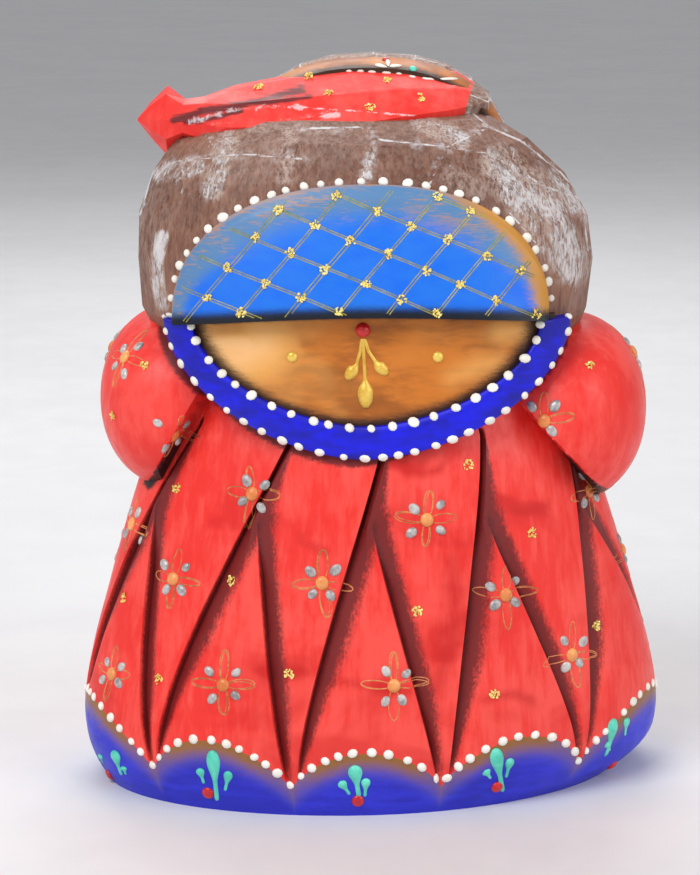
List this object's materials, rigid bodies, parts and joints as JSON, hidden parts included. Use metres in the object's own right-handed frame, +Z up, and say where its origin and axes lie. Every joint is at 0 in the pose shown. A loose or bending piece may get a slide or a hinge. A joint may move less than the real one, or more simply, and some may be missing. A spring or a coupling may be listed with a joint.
{
  "type": "wooden santa figurine",
  "caption": "Carved and painted wooden santa figurine with a flat hat, fur collar, half-round back panel, puffed sleeves and a pleated robe with a scalloped hem, standing on a flat base.",
  "frame": {"origin": "middle of the flat underside", "axes": "+Z up, +Y towards the figure's back, +X towards the side of the hat's tail"},
  "size_m": [0.1563, 0.0947, 0.1932],
  "materials": {
    "painted_wood": "hand-painted acrylic under a satin varnish"
  },
  "bodies": {
    "root": {"santa_figurine": "painted_wood"}
  },
  "joints": []
}
